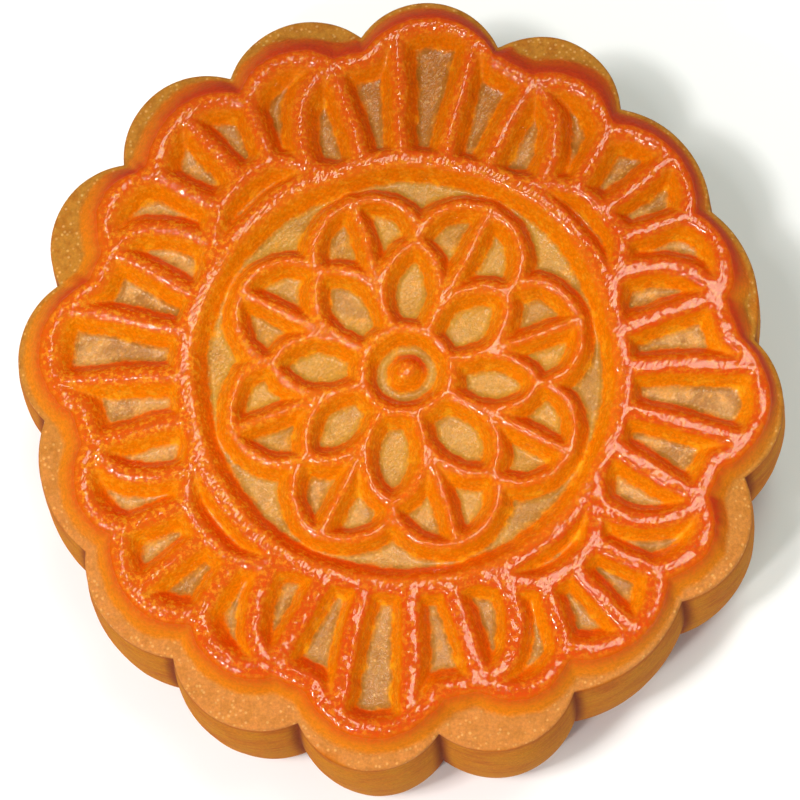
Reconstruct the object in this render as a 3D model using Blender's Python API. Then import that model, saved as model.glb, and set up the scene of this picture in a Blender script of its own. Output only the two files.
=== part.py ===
"""A Cantonese mooncake: one pressed cake with a scalloped side, a narrow ledge and a stamped top.

The body is a stack of scalloped rings, from the flat underside to the crest of the stamp.
Every ridge of the stamp is a line at crest height, and the pockets between the ridges are cut
out of the body. The middle holds a lotus flower.
"""

import math

import bmesh
import bpy
import numpy as np

MM = 0.001

# Side of the cake: sixteen lobes, pressed and baked a little unevenly.
LOBES = 16
LOBE_STEPS = 8
TIP_RADIUS = 38.9 * MM
NOTCH_RADIUS = 36.3 * MM
TIP_UNEVEN_MM = [0.1, -1.2, -0.75, 0.8, 1.0, 0.45, 0.5, 0.4, 0.1, -1.1, -0.5, 0.15, 1.0, 0.3, -1.35, 0.0]

# The side from the underside up to the ledge's outer edge: height, and how far it stands out
# past the lobes' outline, both in millimetres.
WALL_MM = [
    (0.0, -1.6),
    (0.8, -0.6),
    (3.0, 0.05),
    (9.5, 0.65),
    (17.0, 0.9),
    (24.5, 0.5),
    (28.8, -0.05),
    (29.4, -0.55),
]

# The rim's outer side from the ledge up to the crest: height, and reach from the rim's crest line.
CREST_Z = 32.0 * MM
RIM_SIDE_MM = [(29.7, 1.85), (31.1, 1.2), (31.8, 0.75), (32.0, 0.4)]
LEDGE_LEAST = 0.2 * MM

# The stamp sits a little off the middle of the cake. A place on it is an angle in degrees from
# one of its four axes, and a radius.
STAMP_SHIFT = (0.62 * MM, 0.47 * MM)
RING_RADIUS = 22.1 * MM
LOBE_CREST = (0.0, 36.3 * MM)
LOBE_DIP = (11.25, 33.0 * MM)
JUNCTION = (18.3, 32.6 * MM)
SHOULDER_CREST = (26.2, 34.6 * MM)
NOTCH = (34.3, 32.5 * MM)
CORNER_CREST = (45.0, 35.1 * MM)
CRESCENT_MM = [(23.5, 22.1), (29.5, 23.6), (37.0, 25.7), (45.0, 26.1)]
PETAL_LINE_MM = [(29.7, 23.7), (28.3, 27.0), (25.2, 30.2), (21.4, 32.0), (18.3, 32.6)]

# The lotus in the middle, eight petals inside eight: the lines of one half petal of each.
PETALS = 8
POD_RADIUS = 4.2 * MM
SEED_RADIUS = 0.7 * MM
INNER_PETAL_MM = [(22.5, 7.6), (17.5, 9.9), (8.5, 12.1), (0.0, 13.4)]
OUTER_PETAL_MM = [(0.0, 14.4), (5.5, 16.5), (14.0, 18.0), (22.5, 18.6)]

# A pocket's side, from above the crest to its floor: depth below the crest, and distance from
# the centre line of the ridge beside it. In a narrow pocket the floor is a share of what room
# there is.
POCKET_SIDE_MM = [(-1.0, 0.3), (0.35, 0.7), (2.1, 1.35)]
LEAST_FLOOR_SHARE = 0.8

# How the pockets' outlines are found and divided.
CAST_REACH = 9.0 * MM
CAST_STEP = 0.05 * MM
CORNER_TURNS = (45.0, 135.0)
FIELD_STEPS = 80
POD_STEPS = 20

CRUST_COLOUR = (0.78, 0.27, 0.02, 1.0)


def polar(angle, radius):
    return np.array([radius * math.cos(math.radians(angle)), radius * math.sin(math.radians(angle))])


def in_mm(points):
    return [polar(angle, radius * MM) for angle, radius in points]


def straight(start, end, count=6):
    return start + np.linspace(0.0, 1.0, count)[:, None] * (end - start)


def arc_through(start, middle, end, count):
    """The circular arc from start to end that passes through middle."""
    to_middle = middle - start
    to_end = end - start
    sides = 2.0 * np.array([to_middle, to_end])
    centre = start + np.linalg.solve(sides, [to_middle @ to_middle, to_end @ to_end])
    angles = [math.atan2(p[1] - centre[1], p[0] - centre[0]) for p in (start, middle, end)]
    angles = np.unwrap(angles)
    turned = np.linspace(angles[0], angles[2], count)
    radius = np.linalg.norm(start - centre)
    return centre + radius * np.stack([np.cos(turned), np.sin(turned)], axis=1)


def smooth_through(points, steps=4):
    """A Catmull-Rom curve through the points."""
    points = np.array(points)
    guides = np.vstack([2 * points[0] - points[1], points, 2 * points[-1] - points[-2]])
    curve = []
    for a, b, c, d in zip(guides, guides[1:], guides[2:], guides[3:]):
        bend = 2 * a - 5 * b + 4 * c - d
        twist = 3 * b - a - 3 * c + d
        for t in np.linspace(0.0, 1.0, steps, endpoint=False):
            curve.append(b + 0.5 * ((c - a) * t + bend * t**2 + twist * t**3))
    return np.array(curve + [points[-1]])


def turned(points, angle):
    c, s = math.cos(math.radians(angle)), math.sin(math.radians(angle))
    return np.asarray(points) @ np.array([[c, s], [-s, c]])


def mirrored(points):
    return np.asarray(points) * [1.0, -1.0]


def all_round(lines, copies):
    """Each line and its mirror image, repeated round the middle."""
    both = list(lines) + [mirrored(line) for line in lines]
    return [turned(line, 360.0 / copies * k) for k in range(copies) for line in both]


def rim_lines():
    """The rim's crest over one eighth of the stamp."""
    lobe = arc_through(polar(-LOBE_DIP[0], LOBE_DIP[1]), polar(*LOBE_CREST), polar(*LOBE_DIP), 17)
    corner_end = polar(90.0 - NOTCH[0], NOTCH[1])
    corner = arc_through(polar(*NOTCH), polar(*CORNER_CREST), corner_end, 17)
    return [
        lobe[8:],
        straight(polar(*LOBE_DIP), polar(*JUNCTION), 4),
        arc_through(polar(*JUNCTION), polar(*SHOULDER_CREST), polar(*NOTCH), 12),
        corner[:9],
    ]


def border_lines():
    """The ridges between the ring and the rim over one eighth of the stamp."""
    return [
        straight(polar(5.8, RING_RADIUS), polar(6.3, 35.2 * MM)),
        straight(polar(16.0, RING_RADIUS), polar(*JUNCTION)),
        straight(polar(37.0, 25.7 * MM), polar(*NOTCH)),
        straight(polar(45.0, 26.1 * MM), polar(*CORNER_CREST)),
        smooth_through(in_mm(PETAL_LINE_MM)),
        smooth_through(in_mm(CRESCENT_MM)),
        arc_through(polar(0.0, RING_RADIUS), polar(22.5, RING_RADIUS), polar(45.0, RING_RADIUS), 13),
    ]


def flower_lines():
    """The ridges of one sixteenth of the lotus, between a petal's middle and its side."""
    half = 180.0 / PETALS
    inner = in_mm(INNER_PETAL_MM)
    outer = in_mm(OUTER_PETAL_MM)
    return [
        arc_through(polar(0.0, POD_RADIUS), polar(half / 2, POD_RADIUS), polar(half, POD_RADIUS), 4),
        straight(polar(half, POD_RADIUS), outer[-1]),
        smooth_through(inner),
        straight(inner[-1], outer[0], 2),
        smooth_through(outer),
    ]


def segments_of(lines):
    starts = np.vstack([line[:-1] for line in lines])
    ends = np.vstack([line[1:] for line in lines])
    return starts, ends


def distance_to(points, segments):
    """Distance from each point to the nearest of the segments."""
    starts, ends = segments
    along = ends - starts
    offset = points[:, None, :] - starts[None, :, :]
    share = np.clip((offset * along).sum(2) / (along**2).sum(1), 0.0, 1.0)
    gap = offset - share[:, :, None] * along
    return np.sqrt((gap**2).sum(2)).min(1)


def lobe_radius(angle, out):
    """Radius of the scalloped side at an angle, moved out by a distance."""
    pitch = 360.0 / LOBES
    index = int(round(angle / pitch))
    off_axis = math.radians(angle - index * pitch)
    tip = TIP_RADIUS + TIP_UNEVEN_MM[index % LOBES] * MM + out
    notch = NOTCH_RADIUS + out
    centre = (tip**2 - notch**2) / (2 * (tip - notch * math.cos(math.radians(pitch / 2))))
    aside = centre * math.sin(off_axis)
    return centre * math.cos(off_axis) + math.sqrt((tip - centre) ** 2 - aside**2)


def swept_radius(angle, crest, reach):
    """Farthest radius at an angle that is still within reach of the crest's points."""
    across = polar(angle + 90.0, 1.0)
    outward = polar(angle, 1.0)
    aside = crest @ across
    near = (np.abs(aside) < reach) & (crest @ outward > 0)
    return (crest[near] @ outward + np.sqrt(reach**2 - aside[near] ** 2)).max()


def ring_of(angles, radii, z):
    return [(*polar(angle, radius), z) for angle, radius in zip(angles, radii)]


def body_rings(rim):
    """Rings of points from the underside up to the crest."""
    count = LOBES * LOBE_STEPS
    angles = [360.0 / count * k for k in range(count)]
    rings = []
    for height, out in WALL_MM:
        radii = [lobe_radius(angle, out * MM) for angle in angles]
        rings.append(ring_of(angles, radii, height * MM))
    for height, reach in RIM_SIDE_MM:
        inside = np.array(radii) - LEDGE_LEAST
        radii = np.minimum([swept_radius(angle, rim, reach * MM) for angle in angles], inside)
        rings.append(ring_of(angles, radii, height * MM))
    return rings


def dense(lines, step=0.15 * MM):
    """Points along the lines no further apart than step."""
    points = []
    for line in lines:
        for a, b in zip(line, line[1:]):
            count = max(2, int(np.linalg.norm(b - a) / step))
            points.extend(straight(a, b, count))
    return np.array(points)


def loft(bm, rings, closed_tube=False):
    """Faces between rings of equal count. A closed tube joins the last ring to the first."""
    loops = [[bm.verts.new(point) for point in ring] for ring in rings]
    pairs = list(zip(loops, loops[1:]))
    if closed_tube:
        pairs.append((loops[-1], loops[0]))
    for low, high in pairs:
        for k in range(len(low)):
            n = (k + 1) % len(low)
            bm.faces.new((low[k], low[n], high[n], high[k]))
    if not closed_tube:
        bm.faces.new(list(reversed(loops[0])))
        bm.faces.new(loops[-1])


def mesh_object(name, bm):
    bmesh.ops.recalc_face_normals(bm, faces=bm.faces)
    mesh = bpy.data.meshes.new(name)
    bm.to_mesh(mesh)
    bm.free()
    obj = bpy.data.objects.new(name, mesh)
    bpy.context.scene.collection.objects.link(obj)
    return obj


def rays_round(spine):
    """Start points and directions that run once round a pocket's spine, with two corners at each end."""
    along = np.gradient(spine, axis=0)
    along /= np.linalg.norm(along, axis=1)[:, None]
    left = np.stack([-along[:, 1], along[:, 0]], axis=1)
    rays = [(p, -side) for p, side in zip(spine, left)]
    rays += [(spine[-1], turned(-left[-1], angle)) for angle in CORNER_TURNS]
    rays += [(p, side) for p, side in zip(spine[::-1], left[::-1])]
    rays += [(spine[0], turned(left[0], angle)) for angle in CORNER_TURNS]
    return rays


def pocket_rings(spine, segments):
    """The pocket's outline at each depth, found by casting from its spine to the ridges round it."""
    spine = np.asarray(spine)
    middle = spine.mean(axis=0)
    starts, ends = segments
    near = np.linalg.norm((starts + ends) / 2 - middle, axis=1) < 1.5 * CAST_REACH
    segments = (starts[near], ends[near])
    steps = np.arange(0.0, CAST_REACH, CAST_STEP)
    rings = [[] for _ in POCKET_SIDE_MM]
    for start, direction in rays_round(spine):
        gaps = distance_to(start + steps[:, None] * direction, segments)
        for ring, (depth, inset) in zip(rings, POCKET_SIDE_MM):
            wanted = min(inset * MM, LEAST_FLOOR_SHARE * gaps[0])
            reached = steps[np.argmax(gaps < wanted)]
            ring.append((*(start + reached * direction), CREST_Z - depth * MM))
    return rings


def border_spines():
    """Spines of the pockets in the border: those on an axis once, the others mirrored."""
    on_axis = [
        in_mm([(0.0, 24.3), (0.0, 27.5), (0.0, 30.8), (0.0, 34.1)]),
        in_mm([(33.0, 23.35), (38.0, 23.9), (45.0, 24.1), (52.0, 23.9), (57.0, 23.35)]),
    ]
    beside = [
        in_mm([(10.8, 24.1), (11.1, 26.5), (11.4, 28.9), (11.7, 31.2)]),
        in_mm([(22.9, 24.3), (22.8, 26.6), (22.2, 28.8), (21.0, 30.7)]),
        in_mm([(32.8, 26.1), (32.4, 27.9), (30.9, 29.9), (28.0, 31.8), (24.6, 32.6)]),
        in_mm([(41.0, 27.6), (40.7, 29.4), (40.4, 31.2), (40.1, 32.9)]),
    ]
    spines = [turned(spine, 90.0 * k) for spine in on_axis for k in range(4)]
    return spines + all_round(beside, 4)


def flower_spines():
    """Spines of the pockets inside the petals of the lotus."""
    inner = in_mm([(0.0, 6.2), (0.0, 8.2), (0.0, 10.2), (0.0, 11.6)])
    outer = in_mm([(17.3, 11.7), (15.3, 13.4), (15.0, 14.9), (16.4, 16.5)])
    spines = [turned(inner, 360.0 / PETALS * k) for k in range(PETALS)]
    return spines + all_round([outer], PETALS)


def groove_rings(inner, outer, count):
    """Rings of a groove that runs right round between an inner and an outer line."""
    angles = [360.0 / count * k for k in range(count)]
    down, up = [], []
    for depth, inset in POCKET_SIDE_MM:
        for side, radius in ((down, inner), (up, outer)):
            radii = [radius(angle, inset * MM) for angle in angles]
            side.append(ring_of(angles, radii, CREST_Z - depth * MM))
    return down + up[::-1]


def stamp_cutters(segments, petals):
    """One object that holds every pocket of the stamp as a closed cutter."""

    def petals_edge(angle, inset):
        return swept_radius(angle, petals, inset)

    def ring_edge(_, inset):
        return RING_RADIUS - inset

    def seed_edge(_, inset):
        return SEED_RADIUS + inset

    def pod_edge(_, inset):
        return POD_RADIUS - inset

    bm = bmesh.new()
    for spine in border_spines() + flower_spines():
        loft(bm, pocket_rings(spine, segments))
    loft(bm, groove_rings(petals_edge, ring_edge, FIELD_STEPS), closed_tube=True)
    loft(bm, groove_rings(seed_edge, pod_edge, POD_STEPS), closed_tube=True)
    cutters = mesh_object("pocket_cutters", bm)
    cutters.location = (*STAMP_SHIFT, 0.0)
    cutters.hide_render = True
    cutters.display_type = "WIRE"
    return cutters


def crust_material():
    material = bpy.data.materials.new("golden_crust")
    material.use_nodes = True
    surface = material.node_tree.nodes["Principled BSDF"]
    surface.inputs["Base Color"].default_value = CRUST_COLOUR
    surface.inputs["Roughness"].default_value = 0.35
    surface.inputs["Metallic"].default_value = 0.0
    return material


def mooncake():
    """The cake's body with the stamp's pockets cut out of its top."""
    rim = dense(all_round(rim_lines(), 4)) + STAMP_SHIFT
    border = all_round(rim_lines() + border_lines(), 4)
    flower = all_round(flower_lines(), PETALS)
    segments = segments_of(border + flower)
    petals = dense(all_round([smooth_through(in_mm(OUTER_PETAL_MM))], PETALS))

    bm = bmesh.new()
    loft(bm, body_rings(rim))
    cake = mesh_object("mooncake", bm)
    cake.data.materials.append(crust_material())

    cut = cake.modifiers.new("stamped_pockets", "BOOLEAN")
    cut.operation = "DIFFERENCE"
    cut.solver = "EXACT"
    cut.object = stamp_cutters(segments, petals)
    return cake


def main():
    for obj in list(bpy.data.objects):
        bpy.data.objects.remove(obj, do_unlink=True)
    mooncake()


main()
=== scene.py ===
import math

import bpy
import numpy as np
from mathutils import Matrix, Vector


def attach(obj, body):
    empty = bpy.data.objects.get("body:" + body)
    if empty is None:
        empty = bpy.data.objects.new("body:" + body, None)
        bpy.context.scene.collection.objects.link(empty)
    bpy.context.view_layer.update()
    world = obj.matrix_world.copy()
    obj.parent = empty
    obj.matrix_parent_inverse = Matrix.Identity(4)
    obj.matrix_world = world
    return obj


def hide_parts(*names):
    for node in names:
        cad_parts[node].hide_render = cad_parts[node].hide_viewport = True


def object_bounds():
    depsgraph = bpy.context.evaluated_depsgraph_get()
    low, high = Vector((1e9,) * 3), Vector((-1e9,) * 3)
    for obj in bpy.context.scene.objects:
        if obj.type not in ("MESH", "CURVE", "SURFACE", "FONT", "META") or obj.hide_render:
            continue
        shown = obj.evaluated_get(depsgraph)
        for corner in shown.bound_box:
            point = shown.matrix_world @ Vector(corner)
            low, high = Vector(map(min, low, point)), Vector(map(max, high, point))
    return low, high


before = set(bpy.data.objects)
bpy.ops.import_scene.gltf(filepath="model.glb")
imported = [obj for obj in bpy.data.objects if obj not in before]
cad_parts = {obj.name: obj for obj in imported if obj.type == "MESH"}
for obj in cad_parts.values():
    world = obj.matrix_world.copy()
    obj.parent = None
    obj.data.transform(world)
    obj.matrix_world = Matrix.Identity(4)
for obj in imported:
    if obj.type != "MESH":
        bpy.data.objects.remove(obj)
cadLow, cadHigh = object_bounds()
print("frame loaded:", ", ".join(sorted(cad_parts)))

mm = 0.001
chance = np.random.default_rng(16)

# Everything below is worked out in millimetres and turned into metres when a mesh is made.

cakeSide = {
    "lobes": 16,
    "tip": 38.9,                # radius of a lobe's tip
    "notch": 36.3,              # radius of the notch between two lobes
    "uneven": [0.1, -1.2, -0.75, 0.8, 1.0, 0.45, 0.5, 0.4,
               0.1, -1.1, -0.5, 0.15, 1.0, 0.3, -1.35, 0.0],    # what is added to each tip
    "profile": [(0.0, -1.6), (0.3, -1.0), (0.8, -0.6), (3.0, 0.05), (9.5, 0.65), (17.0, 0.88),
                (24.5, 0.5), (28.0, 0.12), (28.9, 0.05)],   # height, how far the side stands out
    "edgeHeight": 29.4,         # the ledge's outer edge
    "edgeRound": 0.5,
    "ledgeRise": 0.25,          # how much the ledge rises towards the rim
    "tuckedIn": 1.6,            # how far the underside's edge lies inside the outline
    "settleFrom": 24.0,         # above this height the side follows the ledge's unevenness
    "ledgeLumps": (0.10, 1.6),  # height and width of the unevenness
    "sideLumps": (0.10, 3.0),
    "sideGrain": (0.015, 0.8),
}

stampPlan = {
    "shift": (0.62, 0.47),      # the stamp sits a little off the middle
    "crest": 31.86,
    "highest": 31.97,
    "ring": 22.1,
    "lobeCrest": (0.0, 36.3),   # angle in degrees, radius
    "lobeDip": (11.25, 33.0),
    "junction": (18.3, 32.6),
    "shoulder": (26.2, 34.6),
    "notch": (34.3, 32.5),
    "corner": (45.0, 35.1),
    "crescent": [(23.5, 22.1), (29.5, 23.6), (37.0, 25.7), (45.0, 26.1)],
    "petalLine": [(29.7, 23.7), (28.3, 27.0), (25.2, 30.2), (21.4, 32.0)],   # to the junction
    "rayFeet": (5.8, 16.0),     # angles at which straight ridges leave the ring
    "lobeRayEnd": (6.3, 35.2),
    "quarters": 4,              # how many times the border repeats round the cake
    "rays": (0.55, 2.20),       # half the width of a ridge's top, and of its foot
    "ringIn": (0.60, 2.45),     # the same for the ring's inner and outer side
    "ringOut": (0.98, 2.10),
    "rimIn": (0.62, 2.70),      # and for the rim's inner side
    "flatSide": (0.77, -0.64),  # the direction of the side where the tops are flatter
    "flatSpan": (-8.0, 14.0),   # where along that direction they turn flat
    "flatter": 0.18,            # how much wider the tops are there
    "depth": 2.15,
    "crown": (0.12, 0.0),       # how far a top falls to its edge, at the far left and near right
    "ringTilt": 0.07,           # how steeply the ring's top leans inwards
    "rimFlat": 0.42,            # how far out from its crest the rim's top is flat
    "rimReach": (2.4, 3.1),     # how far the rim's outer side reaches from its crest, near and far
    "rimRoom": 0.5,             # the least room left for it
    "soften": (0.14, 0.1),      # blur of the plain stamp, and of its lumps
    "wander": (0.20, 3.2),      # how far the hand-pressed lines stray, and over what width
    "ragged": (0.05, 0.35),     # the same for the small raggedness of the ridges' edges
    "crestLumps": (0.05, 1.8),  # height and width of the unevenness
    "crestGrain": (0.016, 0.28),
    "floorLumps": (0.07, 1.1),
}

flowerPlan = {
    "petals": 8,
    "pod": 4.2,
    "seed": 0.7,
    "innerPetal": [(22.5, 7.6), (17.5, 9.9), (8.5, 12.1), (0.0, 13.4)],
    "outerPetal": [(0.0, 14.4), (5.5, 16.5), (14.0, 18.0), (22.5, 18.6)],
    "strokes": (0.35, 1.75),    # half the width of a stroke's top, and of its foot
    "crown": 0.03,
}

mapPlan = {"half": 41.6, "step": 0.1, "tableStep": 0.08, "tableReach": 42.0}


# Lines on the stamp

def polar(angle, radius):
    # angle in degrees
    return np.array([radius * math.cos(math.radians(angle)), radius * math.sin(math.radians(angle))])


def polarPoints(points):
    return [polar(angle, radius) for angle, radius in points]


def straightLine(start, end, count):
    return start + np.linspace(0.0, 1.0, count)[:, None] * (end - start)


def arcThrough(start, middle, end, count):
    toMiddle = middle - start
    toEnd = end - start
    squares = [toMiddle @ toMiddle, toEnd @ toEnd]
    centre = start + np.linalg.solve(2.0 * np.array([toMiddle, toEnd]), squares)
    turns = np.unwrap([math.atan2(p[1] - centre[1], p[0] - centre[0]) for p in (start, middle, end)])
    along = np.linspace(turns[0], turns[2], count)
    return centre + np.linalg.norm(start - centre) * np.stack([np.cos(along), np.sin(along)], axis=1)


def smoothLine(points, steps=5):
    # a curve through all the points, bent smoothly at each
    points = np.array(points, float)
    guides = np.vstack([2 * points[0] - points[1], points, 2 * points[-1] - points[-2]])
    curve = []
    for a, b, c, d in zip(guides, guides[1:], guides[2:], guides[3:]):
        bend = 2 * a - 5 * b + 4 * c - d
        twist = 3 * b - a - 3 * c + d
        for t in np.linspace(0.0, 1.0, steps, endpoint=False):
            curve.append(b + 0.5 * ((c - a) * t + bend * t**2 + twist * t**3))
    return np.array(curve + [points[-1]])


def rimLines(plan):
    # the rim's crest over one eighth of the stamp
    dip, junction, notch = polar(*plan["lobeDip"]), polar(*plan["junction"]), polar(*plan["notch"])
    lobe = arcThrough(dip * [1, -1], polar(*plan["lobeCrest"]), dip, 17)
    cornerEnd = polar(90.0 - plan["notch"][0], plan["notch"][1])
    corner = arcThrough(notch, polar(*plan["corner"]), cornerEnd, 17)
    shoulder = arcThrough(junction, polar(*plan["shoulder"]), notch, 12)
    return [lobe[8:], straightLine(dip, junction, 4), shoulder, corner[:9]]


def borderLines(plan):
    # the ridges between the ring and the rim over one eighth of the stamp
    ring, crescent, rayFeet = plan["ring"], plan["crescent"], plan["rayFeet"]
    return [
        straightLine(polar(rayFeet[0], ring), polar(*plan["lobeRayEnd"]), 2),
        straightLine(polar(rayFeet[1], ring), polar(*plan["junction"]), 2),
        straightLine(polar(*crescent[-2]), polar(*plan["notch"]), 2),
        straightLine(polar(*crescent[-1]), polar(*plan["corner"]), 2),
        smoothLine(polarPoints(plan["petalLine"] + [plan["junction"]])),
        smoothLine(polarPoints(crescent)),
    ]


def flowerLines(plan):
    # the ridges of one sixteenth of the lotus
    half = 180.0 / plan["petals"]
    inner, outer = polarPoints(plan["innerPetal"]), polarPoints(plan["outerPetal"])
    return [
        arcThrough(polar(0.0, plan["pod"]), polar(half / 2, plan["pod"]), polar(half, plan["pod"]), 6),
        straightLine(polar(half, plan["pod"]), outer[-1], 2),
        smoothLine(inner),
        straightLine(inner[-1], outer[0], 2),
        smoothLine(outer),
    ]


# Maps: square grids of values seen from above

gridLine = np.arange(-mapPlan["half"], mapPlan["half"], mapPlan["step"])
gridX, gridY = np.meshgrid(gridLine, gridLine, indexing="ij")
gridSize = len(gridLine)


def blurred(field, width):
    # Gaussian blur, width in millimetres
    across = np.fft.fftfreq(gridSize, mapPlan["step"])
    down = np.fft.rfftfreq(gridSize, mapPlan["step"])
    keep = np.exp(-2 * (np.pi * width) ** 2 * (across[:, None] ** 2 + down[None, :] ** 2))
    return np.fft.irfft2(np.fft.rfft2(field) * keep, s=field.shape)


def lumps(width):
    # smooth random unevenness of this size, about 1 high
    rough = blurred(chance.standard_normal((gridSize, gridSize)), width)
    return rough / rough.std()


def uneven(heightAndWidth, where=1.0):
    # random unevenness of a height and width, as far as a mask lets it
    height, width = heightAndWidth
    return height * where * lumps(width)


def between(ends, share):
    # from the first value to the second
    return ends[0] + (ends[1] - ends[0]) * share


def readGrid(field, low, step, x, y):
    # the grid's value at each place, between its points
    u = np.clip((x - low[0]) / step, 0, field.shape[0] - 1.001)
    v = np.clip((y - low[1]) / step, 0, field.shape[1] - 1.001)
    i, j = u.astype(int), v.astype(int)
    u, v = u - i, v - j
    near = field[i, j] * (1 - v) + field[i, j + 1] * v
    far = field[i + 1, j] * (1 - v) + field[i + 1, j + 1] * v
    return near * (1 - u) + far * u


def readMap(field, x, y):
    return readGrid(field, (gridLine[0], gridLine[0]), mapPlan["step"], x, y)


def smoothStep(value, low, high):
    t = np.clip((value - low) / (high - low), 0.0, 1.0)
    return t * t * (3 - 2 * t)


def distanceTable(lines, wide, high):
    # distance to the nearest of the lines over a corner of the stamp
    step = mapPlan["tableStep"]
    x, y = np.meshgrid(np.arange(0.0, wide, step), np.arange(0.0, high, step), indexing="ij")
    x, y = x.astype(np.float32), y.astype(np.float32)
    nearest = np.full(x.shape, 99.0, np.float32)
    for line in lines:
        for a, b in zip(line[:-1], line[1:]):
            run = b - a
            share = np.clip(((x - a[0]) * run[0] + (y - a[1]) * run[1]) / (run @ run), 0.0, 1.0)
            gap = np.hypot(x - a[0] - share * run[0], y - a[1] - share * run[1])
            np.minimum(nearest, gap, out=nearest)
    return nearest


def foldedDistance(lines, copies, x, y):
    # the lines are worked out once, and every mirrored copy is folded on to them
    reach = mapPlan["tableReach"]
    table = distanceTable(lines, reach, reach * math.sin(math.pi / copies) + 0.5)
    pitch = 2 * math.pi / copies
    angle = np.mod(np.arctan2(y, x), pitch)
    angle = np.minimum(angle, pitch - angle)
    radius = np.hypot(x, y)
    x, y = radius * np.cos(angle), radius * np.sin(angle)
    return readGrid(table, (0.0, 0.0), mapPlan["tableStep"], x, y)


def lobeRadius(angle):
    # radius of the scalloped side at each angle, in radians
    pitch = 2 * math.pi / cakeSide["lobes"]
    index = np.rint(angle / pitch).astype(int)
    offAxis = angle - index * pitch
    tip = cakeSide["tip"] + np.array(cakeSide["uneven"])[index % cakeSide["lobes"]]
    notch = cakeSide["notch"]
    centre = (tip**2 - notch**2) / (2 * (tip - notch * math.cos(pitch / 2)))
    return centre * np.cos(offAxis) + np.sqrt((tip - centre) ** 2 - (centre * np.sin(offAxis)) ** 2)


def ridgeDepth(distance, width, deep, crown):
    # how far below the crest the skin lies at a distance from a ridge's line
    top, foot = width
    flank = smoothStep(distance, 0.85 * top, foot)
    return crown * np.minimum(distance / top, 1.0) ** 2 + (deep - crown) * flank


def stampDepth(plan, rim, x, y):
    # how far the skin inside the rim lies below the crest
    border = foldedDistance(borderLines(plan), plan["quarters"], x, y)
    flower = foldedDistance(flowerLines(flowerPlan), flowerPlan["petals"], x, y)
    seed = np.maximum(np.hypot(x, y) - flowerPlan["seed"], 0.0) + flowerPlan["strokes"][0]
    fromRing = np.hypot(x, y) - plan["ring"]
    offRing = np.abs(fromRing)

    # the tops are flatter and wider on one side, and the ring's top leans inwards
    flat = smoothStep(plan["flatSide"][0] * x + plan["flatSide"][1] * y, *plan["flatSpan"])
    crown = between(plan["crown"], flat)
    wider = plan["flatter"] * flat
    lean = plan["ringTilt"] * np.maximum(0.25 - fromRing, 0.0) * (1 - smoothStep(offRing, 0.8, 1.8))

    # the highest ridge wins at each place
    elsewhere = 9.0             # keeps each side of the ring to its own profile
    deep = plan["depth"]
    depth = np.minimum.reduce([
        ridgeDepth(border, (plan["rays"][0] + wider, plan["rays"][1]), deep, crown),
        ridgeDepth(rim, (plan["rimIn"][0] + wider, plan["rimIn"][1]), deep, crown),
        ridgeDepth(offRing, plan["ringIn"], deep, 0.0) + lean + elsewhere * (fromRing > 0),
        ridgeDepth(offRing, plan["ringOut"], deep, 0.0) + lean + elsewhere * (fromRing <= 0),
        ridgeDepth(np.minimum(flower, seed), flowerPlan["strokes"], deep, flowerPlan["crown"]),
    ])
    return np.minimum(depth, deep)


def crestRadius(plan, x, y):
    # radius of the rim's crest at each angle, to tell its two sides apart
    crest = np.vstack(rimLines(plan))
    crest = np.vstack([crest, crest[::-1, ::-1]])
    crestAngle = np.degrees(np.arctan2(crest[:, 1], crest[:, 0]))
    order = np.argsort(crestAngle)
    quarter = np.mod(np.degrees(np.arctan2(y, x)), 90.0)
    return np.interp(quarter, crestAngle[order], np.hypot(crest[:, 0], crest[:, 1])[order])


def rimSideDepth(plan, rim, x, y):
    # the rim's outer side runs down to the ledge, steeper where the ledge leaves little room
    outline = lobeRadius(np.arctan2(gridY, gridX))
    toEdge = outline - cakeSide["edgeRound"] - np.hypot(gridX, gridY)
    room = np.maximum(toEdge + rim, plan["rimRoom"])
    reach = between(plan["rimReach"], smoothStep(y - 0.5 * x, -20.0, 20.0))
    reached = rim * np.maximum(reach / room, 1.0)
    sideway = np.clip((reached - plan["rimFlat"]) / (reach - plan["rimFlat"]), 0.0, 1.0)
    ledge = cakeSide["edgeHeight"] + cakeSide["ledgeRise"] * smoothStep(toEdge, 0.0, 2.0)
    shoulder = 1 - (1 - sideway**1.5) ** 1.15   # bends late, so the top stays full
    return (plan["crest"] - ledge) * (0.5 * smoothStep(sideway, 0.0, 1.0) + 0.5 * shoulder), sideway


def bakedHeight(plan, depth, outside, sideway):
    # the plain stamp softened, with the lumps and grain of baked dough
    low = smoothStep(depth, 0.8 * plan["depth"], plan["depth"])
    height = blurred(plan["crest"] - depth, plan["soften"][0])
    height += uneven(plan["crestLumps"], 1 - low) + uneven(plan["floorLumps"], low * ~outside)
    height += uneven(cakeSide["ledgeLumps"], outside * smoothStep(sideway, 0.8, 1.0))
    height = blurred(height, plan["soften"][1]) + uneven(plan["crestGrain"], 1 - low)
    return np.minimum(height, plan["highest"])


skinPlan = {
    "awayFromLamps": (0.35, 0.94),       # the direction that faces away from the lamps, where painted shade goes
    "paintedShadeGain": 1.25,
    "slopeBlur": 0.15,
    "maskBlur": 0.12,
    "ledgeFrom": 0.82,          # share of the rim's outer side where the ledge's skin begins
    "rimSideFull": 0.25,        # share of it where the rim's own skin is full
    "middleBlend": 0.6,
    "sideBlend": (0.55, 0.2),   # how far below the ledge's edge the side's skin ends
    "creaseWidth": 0.16,        # share of half a lobe's width
    "creaseReach": 3.0,
}


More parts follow.
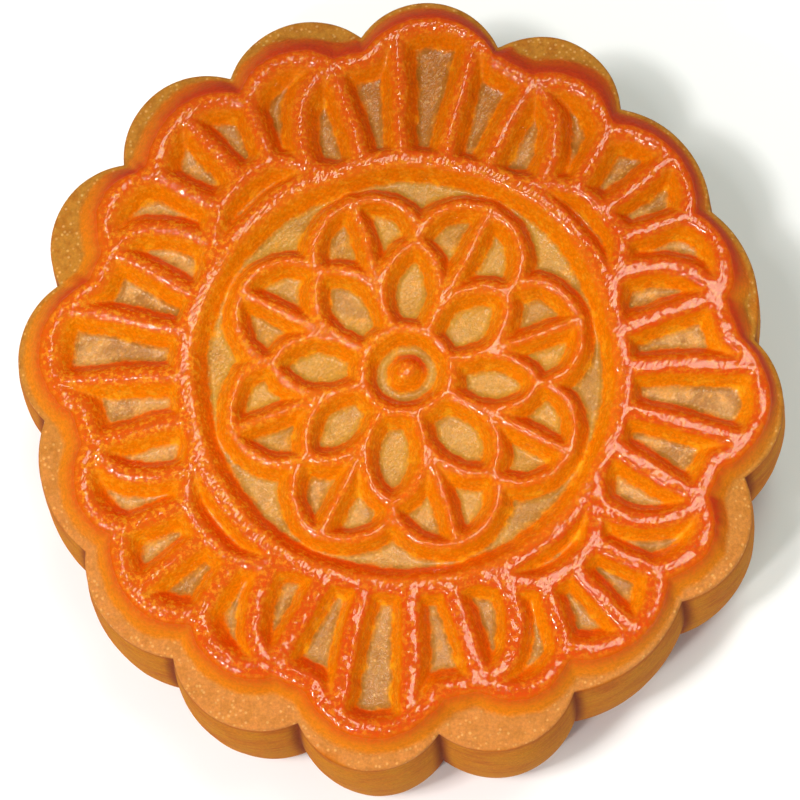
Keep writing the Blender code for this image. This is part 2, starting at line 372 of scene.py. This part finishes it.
def skinMaps(plan, height, depth, outside, sideway, radius):
    slope = np.gradient(blurred(height, plan["slopeBlur"]), mapPlan["step"])
    awayFromLamps = -(plan["awayFromLamps"][0] * slope[0] + plan["awayFromLamps"][1] * slope[1])
    awayFromLamps = awayFromLamps / np.sqrt(1 + slope[0] ** 2 + slope[1] ** 2)
    ring, blend = stampPlan["ring"], plan["middleBlend"]
    masks = {
        # painted shade: how much each place faces away from the lamps
        "far": np.clip(plan["paintedShadeGain"] * awayFromLamps, 0, 1),
        "relief": np.where(outside, 1 - sideway, 1 - np.clip(depth / stampPlan["depth"], 0, 1)),
        "ledge": outside * smoothStep(sideway, plan["ledgeFrom"], 1.0),
        "rimside": outside * smoothStep(sideway, 0.0, plan["rimSideFull"]),
        "middle": 1 - smoothStep(radius, ring - blend, ring + blend),
    }
    return {name: blurred(mask, plan["maskBlur"]) for name, mask in masks.items()}


def stampMaps(plan):
    strayX, strayY = uneven(plan["wander"]), uneven(plan["wander"])
    edgeX, edgeY = uneven(plan["ragged"]), uneven(plan["ragged"])
    x = gridX - plan["shift"][0] + strayX + edgeX
    y = gridY - plan["shift"][1] + strayY + edgeY
    rim = foldedDistance(rimLines(plan), plan["quarters"], x, y)
    outside = np.hypot(x, y) > crestRadius(plan, x, y)
    outerDepth, sideway = rimSideDepth(plan, rim, x, y)
    depth = np.where(outside, outerDepth, stampDepth(plan, rim, x, y))
    height = bakedHeight(plan, depth, outside, sideway)
    return height, skinMaps(skinPlan, height, depth, outside, sideway, np.hypot(x, y))


heightMap, skinMasks = stampMaps(stampPlan)
print("stamp worked out:", gridSize, "points a side,", round(float(heightMap.max()), 2), "mm high")


# The blank: a round cake with no stamp, which is then pressed into shape

blankPlan = {
    "sides": 240,
    "radius": 38.0,
    "heights": [0.12, 0.4, 0.9, 2.2, 5.0, 9.0, 13.5, 18.0, 22.5, 26.0, 28.2, 28.9],  # up the side
    "ringStep": 0.8,            # between the rings of points on the top
    "grid": 22.0,               # inside this radius the top is a grid
    "finer": 2,                 # times that each face is then quartered
    "spreadFrom": 23.0,         # outside this radius the top is spread to the lobes
    "mostTriangles": 196000,
}


def selectNothing():
    if bpy.context.object and bpy.context.object.mode != "OBJECT":
        bpy.ops.object.mode_set(mode="OBJECT")
    bpy.ops.object.select_all(action="DESELECT")


def applyModifier(piece, kind, name, **settings):
    modifier = piece.modifiers.new(name, kind)
    for setting, value in settings.items():
        setattr(modifier, setting, value)
    bpy.context.view_layer.objects.active = piece
    bpy.ops.object.modifier_apply(modifier=name)


def makeBlank(plan):
    selectNothing()
    radius = plan["radius"] - cakeSide["tuckedIn"]
    bpy.ops.mesh.primitive_circle_add(vertices=plan["sides"], radius=radius * mm, fill_type="NOTHING")
    blank = bpy.context.object
    blank.name = "mooncake_crust"
    bpy.ops.object.mode_set(mode="EDIT")
    bpy.ops.mesh.select_all(action="SELECT")

    # rings of points up the side, round the edge and in over the top
    corner, edge = cakeSide["edgeRound"], cakeSide["edgeHeight"]
    rings = [(height, plan["radius"]) for height in plan["heights"]]
    for turn in (math.pi / 4, math.pi / 2):
        rings.append((edge - corner * (1 - math.sin(turn)),
                      plan["radius"] - corner * (1 - math.cos(turn))))
    topRadius = plan["radius"] - corner
    count = round((topRadius - plan["grid"]) / plan["ringStep"])
    rings += [(edge, topRadius + (plan["grid"] - topRadius) * (k + 1) / count)
              for k in range(count)]
    height = 0.0
    for nextHeight, nextRadius in rings:
        up = (0, 0, (nextHeight - height) * mm)
        bpy.ops.mesh.extrude_region_move(TRANSFORM_OT_translate={"value": up})
        size = nextRadius / radius
        bpy.ops.transform.resize(value=(size, size, 1), center_override=(0, 0, 0))
        height, radius = nextHeight, nextRadius

    # the middle of the top, the underside, and finer faces all over
    bpy.ops.mesh.fill_grid(span=plan["sides"] // 4)
    bpy.ops.mesh.select_all(action="DESELECT")
    bpy.ops.mesh.select_non_manifold()
    bpy.ops.mesh.edge_face_add()
    bpy.ops.mesh.select_all(action="SELECT")
    bpy.ops.mesh.normals_make_consistent(inside=False)
    bpy.ops.object.mode_set(mode="OBJECT")
    applyModifier(blank, "SUBSURF", "finer", subdivision_type="SIMPLE", levels=plan["finer"],
                  render_levels=plan["finer"])
    return blank


# Pressing and baking: the blank's points are moved to the lobes, the bulging side and the stamp

def readPoints(mesh):
    flatList = np.empty(len(mesh.vertices) * 3)
    mesh.vertices.foreach_get("co", flatList)
    return flatList.reshape(-1, 3) / mm


def writePoints(mesh, points):
    mesh.vertices.foreach_set("co", (points * mm).ravel())
    mesh.update()


def sideOut(height):
    # how far the side stands out at each height
    profile = smoothLine(cakeSide["profile"], 8)
    return np.interp(height, profile[:, 0], profile[:, 1])


def readSide(pattern, points, spread, drop):
    # a flat pattern wrapped round the side, slanting down it
    return readMap(pattern, points[:, 0] * spread, points[:, 1] * spread + points[:, 2] * drop)


def pressCake(piece, plan):
    points = readPoints(piece.data)
    blankRadius, tuckedIn = plan["radius"], cakeSide["tuckedIn"]
    angle = np.arctan2(points[:, 1], points[:, 0])
    radius = np.hypot(points[:, 0], points[:, 1])
    height = points[:, 2].copy()
    corner, edge = cakeSide["edgeRound"], cakeSide["edgeHeight"]
    outline = lobeRadius(angle)
    slack = 0.01
    onTop = (radius < blankRadius - corner + slack) & (height > edge - slack)
    under = height < slack / 2
    rounded = (height > edge - corner - slack) & ~onTop

    # side: lobes, bulge and the soft unevenness of baked dough
    dentDepth, dentWidth = cakeSide["sideLumps"]
    grainDepth, grainWidth = cakeSide["sideGrain"]
    dents = readSide(lumps(dentWidth), points, 0.8, 0.35)
    grain = readSide(lumps(grainWidth), points, 0.9, 0.5)
    lump = np.minimum(dentDepth * (dents - 1.0) + grainDepth * grain, 0.0)
    lump *= smoothStep(height, 0.5, 3.0)        # none at the underside, and little at the ledge
    lump *= 1 - 0.7 * smoothStep(height, edge - 1.5, edge)
    newRadius = outline + sideOut(height) + lump

    # the ledge's rounded edge
    turn = np.arctan2(height - (edge - corner), radius - (blankRadius - corner))
    newRadius = np.where(rounded, outline + lump - corner * (1 - np.cos(turn)), newRadius)
    height = np.where(rounded, edge - corner * (1 - np.sin(turn)), height)

    # top: spread to the lobes, then raised to the stamp
    share = smoothStep(radius, plan["spreadFrom"], blankRadius - corner)
    spread = radius + share * (outline + lump - blankRadius)
    newRadius = np.where(onTop, spread, newRadius)
    underRadius = blankRadius - tuckedIn
    underneath = np.minimum(radius, underRadius) / underRadius * (outline - tuckedIn)
    newRadius = np.where(under, underneath, newRadius)
    x, y = newRadius * np.cos(angle), newRadius * np.sin(angle)
    edgeRadius = outline + lump - corner
    atEdge = readMap(heightMap, edgeRadius * np.cos(angle), edgeRadius * np.sin(angle))
    height = height + (atEdge - edge) * smoothStep(height, cakeSide["settleFrom"], edge) * ~onTop
    height = np.where(onTop, readMap(heightMap, x, y), height)
    writePoints(piece.data, np.stack([x, y, height], axis=1))


def thinOut(piece, most):
    # fewer triangles where the skin is smooth
    triangles = sum(len(face.vertices) - 2 for face in piece.data.polygons)
    if triangles > most:
        applyModifier(piece, "DECIMATE", "thin_out", decimate_type="COLLAPSE", ratio=most / triangles,
                      use_collapse_triangulate=True)
    print("skin:", len(piece.data.polygons), "triangles")


def addAttribute(mesh, name, values):
    layer = mesh.attributes.new(name, "FLOAT", "POINT")
    layer.data.foreach_set("value", np.asarray(values, np.float32))


def markSkin(piece):
    # what kind of skin each point has, for the finish
    points = readPoints(piece.data)
    x, y, height = points.T
    radius, angle = np.hypot(x, y), np.arctan2(y, x)
    edge, blend = cakeSide["edgeHeight"], skinPlan["sideBlend"]
    top = smoothStep(height, edge - blend[0], edge - blend[1])
    for name, field in skinMasks.items():
        addAttribute(piece.data, name, readMap(field, x, y) * top)
    addAttribute(piece.data, "side", 1 - top)
    pitch = 2 * math.pi / cakeSide["lobes"]
    fromNotch = np.abs(np.mod(angle, pitch) - pitch / 2) / pitch * 2
    # where painted shade goes, in the notches between the lobes
    notchShade = 1 - smoothStep(fromNotch, 0.0, skinPlan["creaseWidth"])
    addAttribute(piece.data, "notchShade", notchShade * (radius > lobeRadius(angle) - skinPlan["creaseReach"]))


crust = makeBlank(blankPlan)
print("blank made:", len(crust.data.vertices), "points,", len(crust.data.polygons), "faces")
pressCake(crust, blankPlan)
thinOut(crust, blankPlan["mostTriangles"])
markSkin(crust)
selectNothing()
crust.select_set(True)
bpy.context.view_layer.objects.active = crust
bpy.ops.object.shade_smooth()


# Finish

def feed(tree, socket, value):
    if isinstance(value, bpy.types.NodeSocket):
        tree.links.new(value, socket)
    else:
        socket.default_value = value


def mathNode(tree, operation, first, second, clamp=False):
    node = tree.nodes.new("ShaderNodeMath")
    node.operation = operation
    node.use_clamp = clamp
    feed(tree, node.inputs[0], first)
    feed(tree, node.inputs[1], second)
    return node.outputs[0]


def times(tree, first, second, clamp=False):
    return mathNode(tree, "MULTIPLY", first, second, clamp)


def plus(tree, first, second):
    return mathNode(tree, "ADD", first, second)


def around(tree, pattern, strength):
    # a pattern made to swing about zero
    return times(tree, mathNode(tree, "SUBTRACT", pattern, 0.5), strength)


def stepNode(tree, value, low, high, start=0.0, end=1.0):
    # a smooth step: start below low, end above high
    node = tree.nodes.new("ShaderNodeMapRange")
    node.interpolation_type = "SMOOTHSTEP"
    for index, given in enumerate((value, low, high, start, end)):
        feed(tree, node.inputs[index], given)
    return node.outputs[0]


def mixNode(tree, share, first, second):
    # the first colour, with this share of the second
    node = tree.nodes.new("ShaderNodeMix")
    node.data_type = "RGBA"
    feed(tree, node.inputs[0], share)
    feed(tree, node.inputs[6], first)
    feed(tree, node.inputs[7], second)
    return node.outputs[2]


def attributeNode(tree, name):
    node = tree.nodes.new("ShaderNodeAttribute")
    node.attribute_name = name
    return node.outputs["Fac"]


def noiseNode(tree, place, size, detail, roughness):
    # size in millimetres
    node = tree.nodes.new("ShaderNodeTexNoise")
    feed(tree, node.inputs["Vector"], place)
    node.inputs["Scale"].default_value = 1 / (size * mm)
    node.inputs["Detail"].default_value = detail
    node.inputs["Roughness"].default_value = roughness
    return node.outputs["Fac"]


def cellNode(tree, place, size):
    # distance to the nearest of many scattered points
    node = tree.nodes.new("ShaderNodeTexVoronoi")
    feed(tree, node.inputs["Vector"], place)
    node.inputs["Scale"].default_value = 1 / (size * mm)
    return node.outputs["Distance"]


def stretchNode(tree, place, stretch, turn=0.0, kind="POINT"):
    # turn in degrees
    node = tree.nodes.new("ShaderNodeMapping")
    node.vector_type = kind
    node.inputs["Rotation"].default_value = (0.0, 0.0, math.radians(turn))
    node.inputs["Scale"].default_value = stretch
    feed(tree, node.inputs["Vector"], place)
    return node.outputs["Vector"]


def colour(red, green, blue):
    return (red, green, blue, 1.0)


crustLook = {
    "crest": colour(0.56, 0.054, 0.001),        # browned, egg-washed ridge tops
    "flank": colour(0.75, 0.190, 0.001),        # their golden sides
    "paintedShadeFlank": colour(0.68, 0.054, 0.001),     # painted shade: the sides that face away from the lamps, darker and redder
    "brushed": colour(0.78, 0.27, 0.010),       # thin brush strokes of egg wash
    "blotch": colour(0.80, 0.34, 0.01),         # paler, doughy blotches low on the sides
    "grains": colour(0.82, 0.38, 0.03),
    "rimGold": colour(0.68, 0.180, 0.001),      # the rim's outer side, low down
    "rimDarkAndShade": colour(0.52, 0.036, 0.001),      # and high up, and painted shade where it faces away from the lamps
    "pocket": colour(0.37, 0.145, 0.022),       # dull skin in the pockets
    "pocketPale": colour(0.56, 0.265, 0.065),
    "pocketShade": colour(0.35, 0.105, 0.008),    # painted shade in the pockets at the back
    "middle": colour(0.51, 0.238, 0.030),       # and between the petals in the middle
    "specks": colour(0.85, 0.50, 0.17),
    "ledge": colour(0.57, 0.205, 0.042),
    "ledgeGold": colour(0.45, 0.175, 0.018),    # the ledge at the back
    "ledgeDark": colour(0.38, 0.12, 0.008),
    # darker patches round the side, and painted shade under the ledge's edge
    "side": colour(0.54, 0.15, 0.001),
    "sideDarkAndShade": colour(0.44, 0.085, 0.001),
    "sideGold": colour(0.56, 0.20, 0.001),      # streaks round the side
    "notchShade": colour(0.22, 0.03, 0.001),        # painted shade in the notches between the lobes
    "patterns": {                               # size in millimetres, detail, roughness
        "patches": (4.5, 2.0, 0.5),
        "spots": (1.3, 3.0, 0.6),
        "mealy": (0.55, 3.0, 0.7),
        "grain": (0.34, 3.0, 0.65),
        "pores": (0.17, 1.0, 0.5),
    },
    "strokes": (0.36, 0.0, 0.5),                # the same for slanting strokes of egg wash
    "strokeStretch": (1.5, 0.8, 1.0),
    "strokeTurn": 60,
    "streaks": (1.2, 3.0, 0.6),                 # and for streaks that run round the side
    "streakStretch": (0.35, 0.35, 1.6),
    "speckPitch": 0.62,
    "gloss": 0.075,                             # roughness of the ridges
    "dull": 0.22,                               # of the pockets and the ledge
    "farDull": 0.85,                            # of the rim's outer side
    "sideDull": 1.0,
    "refraction": 1.45,
    "specular": 0.21,
    "grainHeight": 0.046,                       # the skin's fine relief, in millimetres
    "glow": 0.3,                                # light that spreads under the skin
    "glowReach": (1.0, 0.30, 0.05),
}


def skinParts(tree, look):
    # what the tones are made of: marks on the mesh, the place on the cake, and patterns
    place = tree.nodes.new("ShaderNodeTexCoord").outputs["Object"]
    axes = tree.nodes.new("ShaderNodeSeparateXYZ")
    feed(tree, axes.inputs[0], place)
    skin = {name: attributeNode(tree, name) for name in (*skinMasks, "side", "notchShade")}
    skin["backward"], skin["upward"] = axes.outputs["Y"], axes.outputs["Z"]
    for name, pattern in look["patterns"].items():
        skin[name] = noiseNode(tree, place, *pattern)
    slant = stretchNode(tree, place, look["strokeStretch"], look["strokeTurn"], "TEXTURE")
    skin["strokes"] = noiseNode(tree, slant, *look["strokes"])
    wrapped = stretchNode(tree, place, look["streakStretch"])
    skin["streaks"] = noiseNode(tree, wrapped, *look["streaks"])
    skin["speckled"] = stepNode(tree, cellNode(tree, place, look["speckPitch"]), 0.34, 0.10)
    skin["wobble"] = around(tree, skin["grain"], 0.45)

    # how far to the back and left, where the skin is rougher
    leftward = mathNode(tree, "SUBTRACT", times(tree, axes.outputs["Y"], 0.8), axes.outputs["X"])
    skin["leftward"] = stepNode(tree, leftward, -18 * mm, 10 * mm, 0.55, 1.0)

    # in a pocket, with a ragged edge at the foot of the ridges
    ragged = plus(tree, skin["relief"], around(tree, skin["spots"], 0.4))
    notRim = mathNode(tree, "SUBTRACT", 1.0, skin["rimside"])
    skin["pocket"] = times(tree, stepNode(tree, ragged, 0.20, 0.0), notRim)
    skin["dull"] = mathNode(tree, "MAXIMUM", skin["pocket"], skin["ledge"])
    return skin


def ridgeTone(tree, skin, look):
    # golden at the foot, browned on top, with paler grains
    relief, leftward = skin["relief"], skin["leftward"]
    blotches = stepNode(tree, skin["spots"], 0.50, 0.66, 0.0, 0.7)
    blotches = times(tree, blotches, stepNode(tree, relief, 0.75, 0.35))
    tone = mixNode(tree, blotches, look["flank"], look["blotch"])
    tone = mixNode(tree, times(tree, skin["speckled"], 0.30), tone, look["grains"])
    # painted shade on the sides that face away from the lamps
    tone = mixNode(tree, skin["far"], tone, look["paintedShadeFlank"])
    tone = mixNode(tree, skin["rimside"], tone, look["rimGold"])
    browning = plus(tree, relief, skin["wobble"])
    browned = stepNode(tree, browning, 0.72, 1.05)
    browned = times(tree, browned, stepNode(tree, skin["middle"], 0.0, 1.0, 1.0, 0.7))
    browned = times(tree, browned, stepNode(tree, leftward, 0.6, 1.0, 1.0, 0.85))
    tone = mixNode(tree, browned, tone, look["crest"])

    # paler where the brush left little egg wash, and painted shade: redder and darker towards the back
    brushed = stepNode(tree, skin["mealy"], 0.46, 0.64, 0.0, 0.75)
    brushed = times(tree, brushed, stepNode(tree, relief, 0.3, 0.7))
    tone = mixNode(tree, times(tree, brushed, leftward), tone, look["brushed"])
    backShare = stepNode(tree, skin["backward"], 4 * mm, 34 * mm, 0.0, 0.35)
    tone = mixNode(tree, backShare, tone, look["crest"])

    # the rim's outer side: dark high up, and painted shade all over where it faces away from the lamps
    rimShare = stepNode(tree, browning, 0.25, 0.95, 0.0, 0.85)
    rimShare = plus(tree, rimShare, times(tree, skin["far"], 0.8))
    rimShare = times(tree, skin["rimside"], rimShare, clamp=True)
    return mixNode(tree, rimShare, tone, look["rimDarkAndShade"])


def pocketTone(tree, skin, look):
    # dull and speckled, in pale patches, and yellower in the middle
    backward = skin["backward"]
    mottled = plus(tree, skin["patches"], around(tree, skin["spots"], 0.7))
    tone = mixNode(tree, stepNode(tree, mottled, 0.35, 0.64), look["pocket"], look["pocketPale"])
    yellowed = stepNode(tree, skin["patches"], 0.30, 0.60, 0.3, 1.0)
    yellowed = times(tree, skin["middle"], yellowed)
    yellowed = times(tree, yellowed, stepNode(tree, backward, -20 * mm, -5 * mm, 0.3, 1.0))
    tone = mixNode(tree, yellowed, tone, look["middle"])
    nearShare = stepNode(tree, backward, -14 * mm, -28 * mm, 0.0, 0.6)
    tone = mixNode(tree, nearShare, tone, look["pocket"])
    # painted shade deep in the pockets towards the back
    backShadeShare = stepNode(tree, backward, 18 * mm, 29 * mm, 0.0, 0.8)
    tone = mixNode(tree, backShadeShare, tone, look["pocketShade"])
    return mixNode(tree, times(tree, skin["speckled"], 0.30), tone, look["specks"])


def ledgeTone(tree, skin, look):
    backShare = stepNode(tree, skin["backward"], -20 * mm, 5 * mm)
    tone = mixNode(tree, backShare, look["ledge"], look["ledgeGold"])
    darker = stepNode(tree, skin["backward"], -20 * mm, 10 * mm, 0.3, 0.8)
    darker = times(tree, stepNode(tree, skin["spots"], 0.54, 0.36), darker)
    tone = mixNode(tree, darker, tone, look["ledgeDark"])
    return mixNode(tree, times(tree, skin["speckled"], 0.40), tone, look["specks"])


def sideTone(tree, skin, look):
    patches = stepNode(tree, skin["patches"], 0.38, 0.75)
    streaks = stepNode(tree, skin["streaks"], 0.30, 0.72, 0.0, 0.85)
    tone = mixNode(tree, patches, look["side"], look["sideDarkAndShade"])
    return mixNode(tree, streaks, tone, look["sideGold"])


def crustTone(tree, skin, look):
    side = skin["side"]
    tone = mixNode(tree, skin["pocket"], ridgeTone(tree, skin, look), pocketTone(tree, skin, look))
    tone = mixNode(tree, skin["ledge"], tone, ledgeTone(tree, skin, look))
    tone = mixNode(tree, side, tone, sideTone(tree, skin, look))
    # painted shade on the side just under the ledge's edge
    underEdgeShade = stepNode(tree, skin["upward"], 27.4 * mm, 29.0 * mm, 0.0, 0.75)
    tone = mixNode(tree, times(tree, side, underEdgeShade), tone, look["sideDarkAndShade"])
    # painted shade in the notches between the lobes, on the side
    tone = mixNode(tree, times(tree, skin["notchShade"], side), tone, look["notchShade"])

    # darker and lighter grains, and painted shade a little darker towards the back
    shade = stepNode(tree, skin["grain"], 0.25, 0.75, 0.82, 1.12)
    shade = times(tree, shade, stepNode(tree, skin["backward"], 0.0, 34 * mm, 1.0, 0.86))
    shaded = tree.nodes.new("ShaderNodeVectorMath")
    shaded.operation = "SCALE"
    feed(tree, shaded.inputs[0], tone)
    feed(tree, shaded.inputs["Scale"], shade)
    return shaded.outputs[0]


def crustRoughness(tree, skin, look):
    # glossy ridges, and duller pockets, ledge, outer rim and side
    outer = mathNode(tree, "MAXIMUM", skin["far"], stepNode(tree, skin["relief"], 0.88, 0.60))
    outer = times(tree, skin["rimside"], outer)
    roughness = stepNode(tree, skin["dull"], 0.0, 1.0, look["gloss"], look["dull"])
    roughness = stepNode(tree, outer, 0.1, 0.5, roughness, look["farDull"])
    roughness = stepNode(tree, skin["side"], 0.0, 1.0, roughness, look["sideDull"])
    return plus(tree, roughness, times(tree, skin["wobble"], 0.1))


def crustRelief(tree, skin, look):
    # pores in the dull skin, and short slanting brush strokes of egg wash
    pores = times(tree, skin["pores"], stepNode(tree, skin["dull"], 0.0, 1.0, 0.0, 0.9))
    strokes = times(tree, skin["strokes"], skin["leftward"])
    bump = tree.nodes.new("ShaderNodeBump")
    bump.inputs["Strength"].default_value = 1.0
    bump.inputs["Distance"].default_value = look["grainHeight"] * mm
    feed(tree, bump.inputs["Height"], plus(tree, pores, strokes))
    return bump.outputs["Normal"]


def crustMaterial(look):
    material = bpy.data.materials.new("golden_crust_skin")
    material.use_nodes = True
    tree = material.node_tree
    shader = tree.nodes["Principled BSDF"]
    skin = skinParts(tree, look)
    feed(tree, shader.inputs["Base Color"], crustTone(tree, skin, look))
    feed(tree, shader.inputs["Roughness"], crustRoughness(tree, skin, look))
    feed(tree, shader.inputs["Normal"], crustRelief(tree, skin, look))
    shader.inputs["IOR"].default_value = look["refraction"]
    shader.inputs["Specular IOR Level"].default_value = look["specular"]
    shader.inputs["Subsurface Weight"].default_value = look["glow"]
    shader.inputs["Subsurface Radius"].default_value = look["glowReach"]
    shader.inputs["Subsurface Scale"].default_value = 1.0 * mm
    return material


crust.data.materials.clear()
crust.data.materials.append(crustMaterial(crustLook))
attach(crust, "root")
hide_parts("mooncake")
print("crust finished")


# Floor, light and camera

floorPlan = {"size": 6.0, "colour": colour(0.90, 0.90, 0.94), "roughness": 0.8}


def makeFloor(plan):
    selectNothing()
    bpy.ops.mesh.primitive_plane_add(size=plan["size"], location=(0, 0, cadLow.z))
    floor = bpy.context.object
    floor.name = "floor"
    material = bpy.data.materials.new("pale_floor")
    material.use_nodes = True
    shader = material.node_tree.nodes["Principled BSDF"]
    shader.inputs["Base Color"].default_value = plan["colour"]
    shader.inputs["Roughness"].default_value = plan["roughness"]
    floor.data.materials.append(material)
    return floor


makeFloor(floorPlan)

# place and size in millimetres, power in watts; each lamp faces the cake
warm, cool = (1.0, 0.98, 0.92), (0.80, 0.98, 0.80)
lightPlan = {
    "left_key": {"place": (-400, -600, 1000), "size": (80, 80), "power": 4.0, "tint": warm},
    "left_lamp": {"place": (-250, -210, 1000), "size": (50, 80), "power": 3.3, "tint": warm},
    "left_window": {"place": (-245, -140, 1000), "size": (55, 190), "power": 3.0, "tint": warm},
    "front_soft": {"place": (-300, -1000, 800), "size": (700, 400), "power": 0.5, "tint": warm},
    "window": {"place": (100, 168, 1000), "size": (270, 200), "power": 3.4, "tint": cool},
}
roomLight = (0.12, 0.41)        # at the horizon and overhead


def makeLights(plan):
    for name, values in plan.items():
        light = bpy.data.lights.new(name, "AREA")
        light.shape = "RECTANGLE"
        light.size, light.size_y = (side * mm for side in values["size"])
        light.energy = values["power"]
        light.color = values["tint"]
        lamp = bpy.data.objects.new(name, light)
        lamp.location = [value * mm for value in values["place"]]
        lamp.rotation_euler = lamp.location.to_track_quat("Z", "Y").to_euler()
        lamp.visible_camera = False
        bpy.context.scene.collection.objects.link(lamp)
    world = bpy.data.worlds.new("studio")
    world.use_nodes = True
    tree = world.node_tree
    split = tree.nodes.new("ShaderNodeSeparateXYZ")
    feed(tree, split.inputs[0], tree.nodes.new("ShaderNodeTexCoord").outputs["Generated"])
    strength = stepNode(tree, split.outputs["Z"], 0.0, 0.9, *roomLight)
    feed(tree, tree.nodes["Background"].inputs["Strength"], strength)
    tree.nodes["Background"].inputs["Color"].default_value = colour(1.0, 1.0, 1.0)
    bpy.context.scene.world = world


makeLights(lightPlan)

cameraPlan = {
    "lens": 181.8,
    "aim": (0.36, -2.55, 32.0),  # near the middle of the stamp's crest
    "distance": 406.5,          # from the aim to the camera
    "tilt": 11.1,               # degrees off the vertical
    "towards": -76.5,           # the side that the camera stands on
    "up": 95.0,                 # the stamp's direction that points up in the view
}


def makeCamera(plan):
    tilt, towards, up = (math.radians(plan[key]) for key in ("tilt", "towards", "up"))
    lean = math.sin(tilt)
    back = np.array([lean * math.cos(towards), lean * math.sin(towards), math.cos(tilt)])
    right = np.cross([math.cos(up), math.sin(up), 0.0], back)
    right /= np.linalg.norm(right)
    above = np.cross(back, right)
    data = bpy.data.cameras.new("camera")
    data.lens = plan["lens"]
    data.sensor_width = 36.0
    data.clip_start, data.clip_end = 0.01, 20.0
    camera = bpy.data.objects.new("camera", data)
    spot = (np.array(plan["aim"]) + plan["distance"] * back) * mm
    rows = [[right[i], above[i], back[i], spot[i]] for i in range(3)]
    camera.matrix_world = Matrix(rows + [[0, 0, 0, 1]])
    bpy.context.scene.collection.objects.link(camera)
    bpy.context.scene.camera = camera


makeCamera(cameraPlan)
bpy.context.scene.view_settings.view_transform = "Standard"
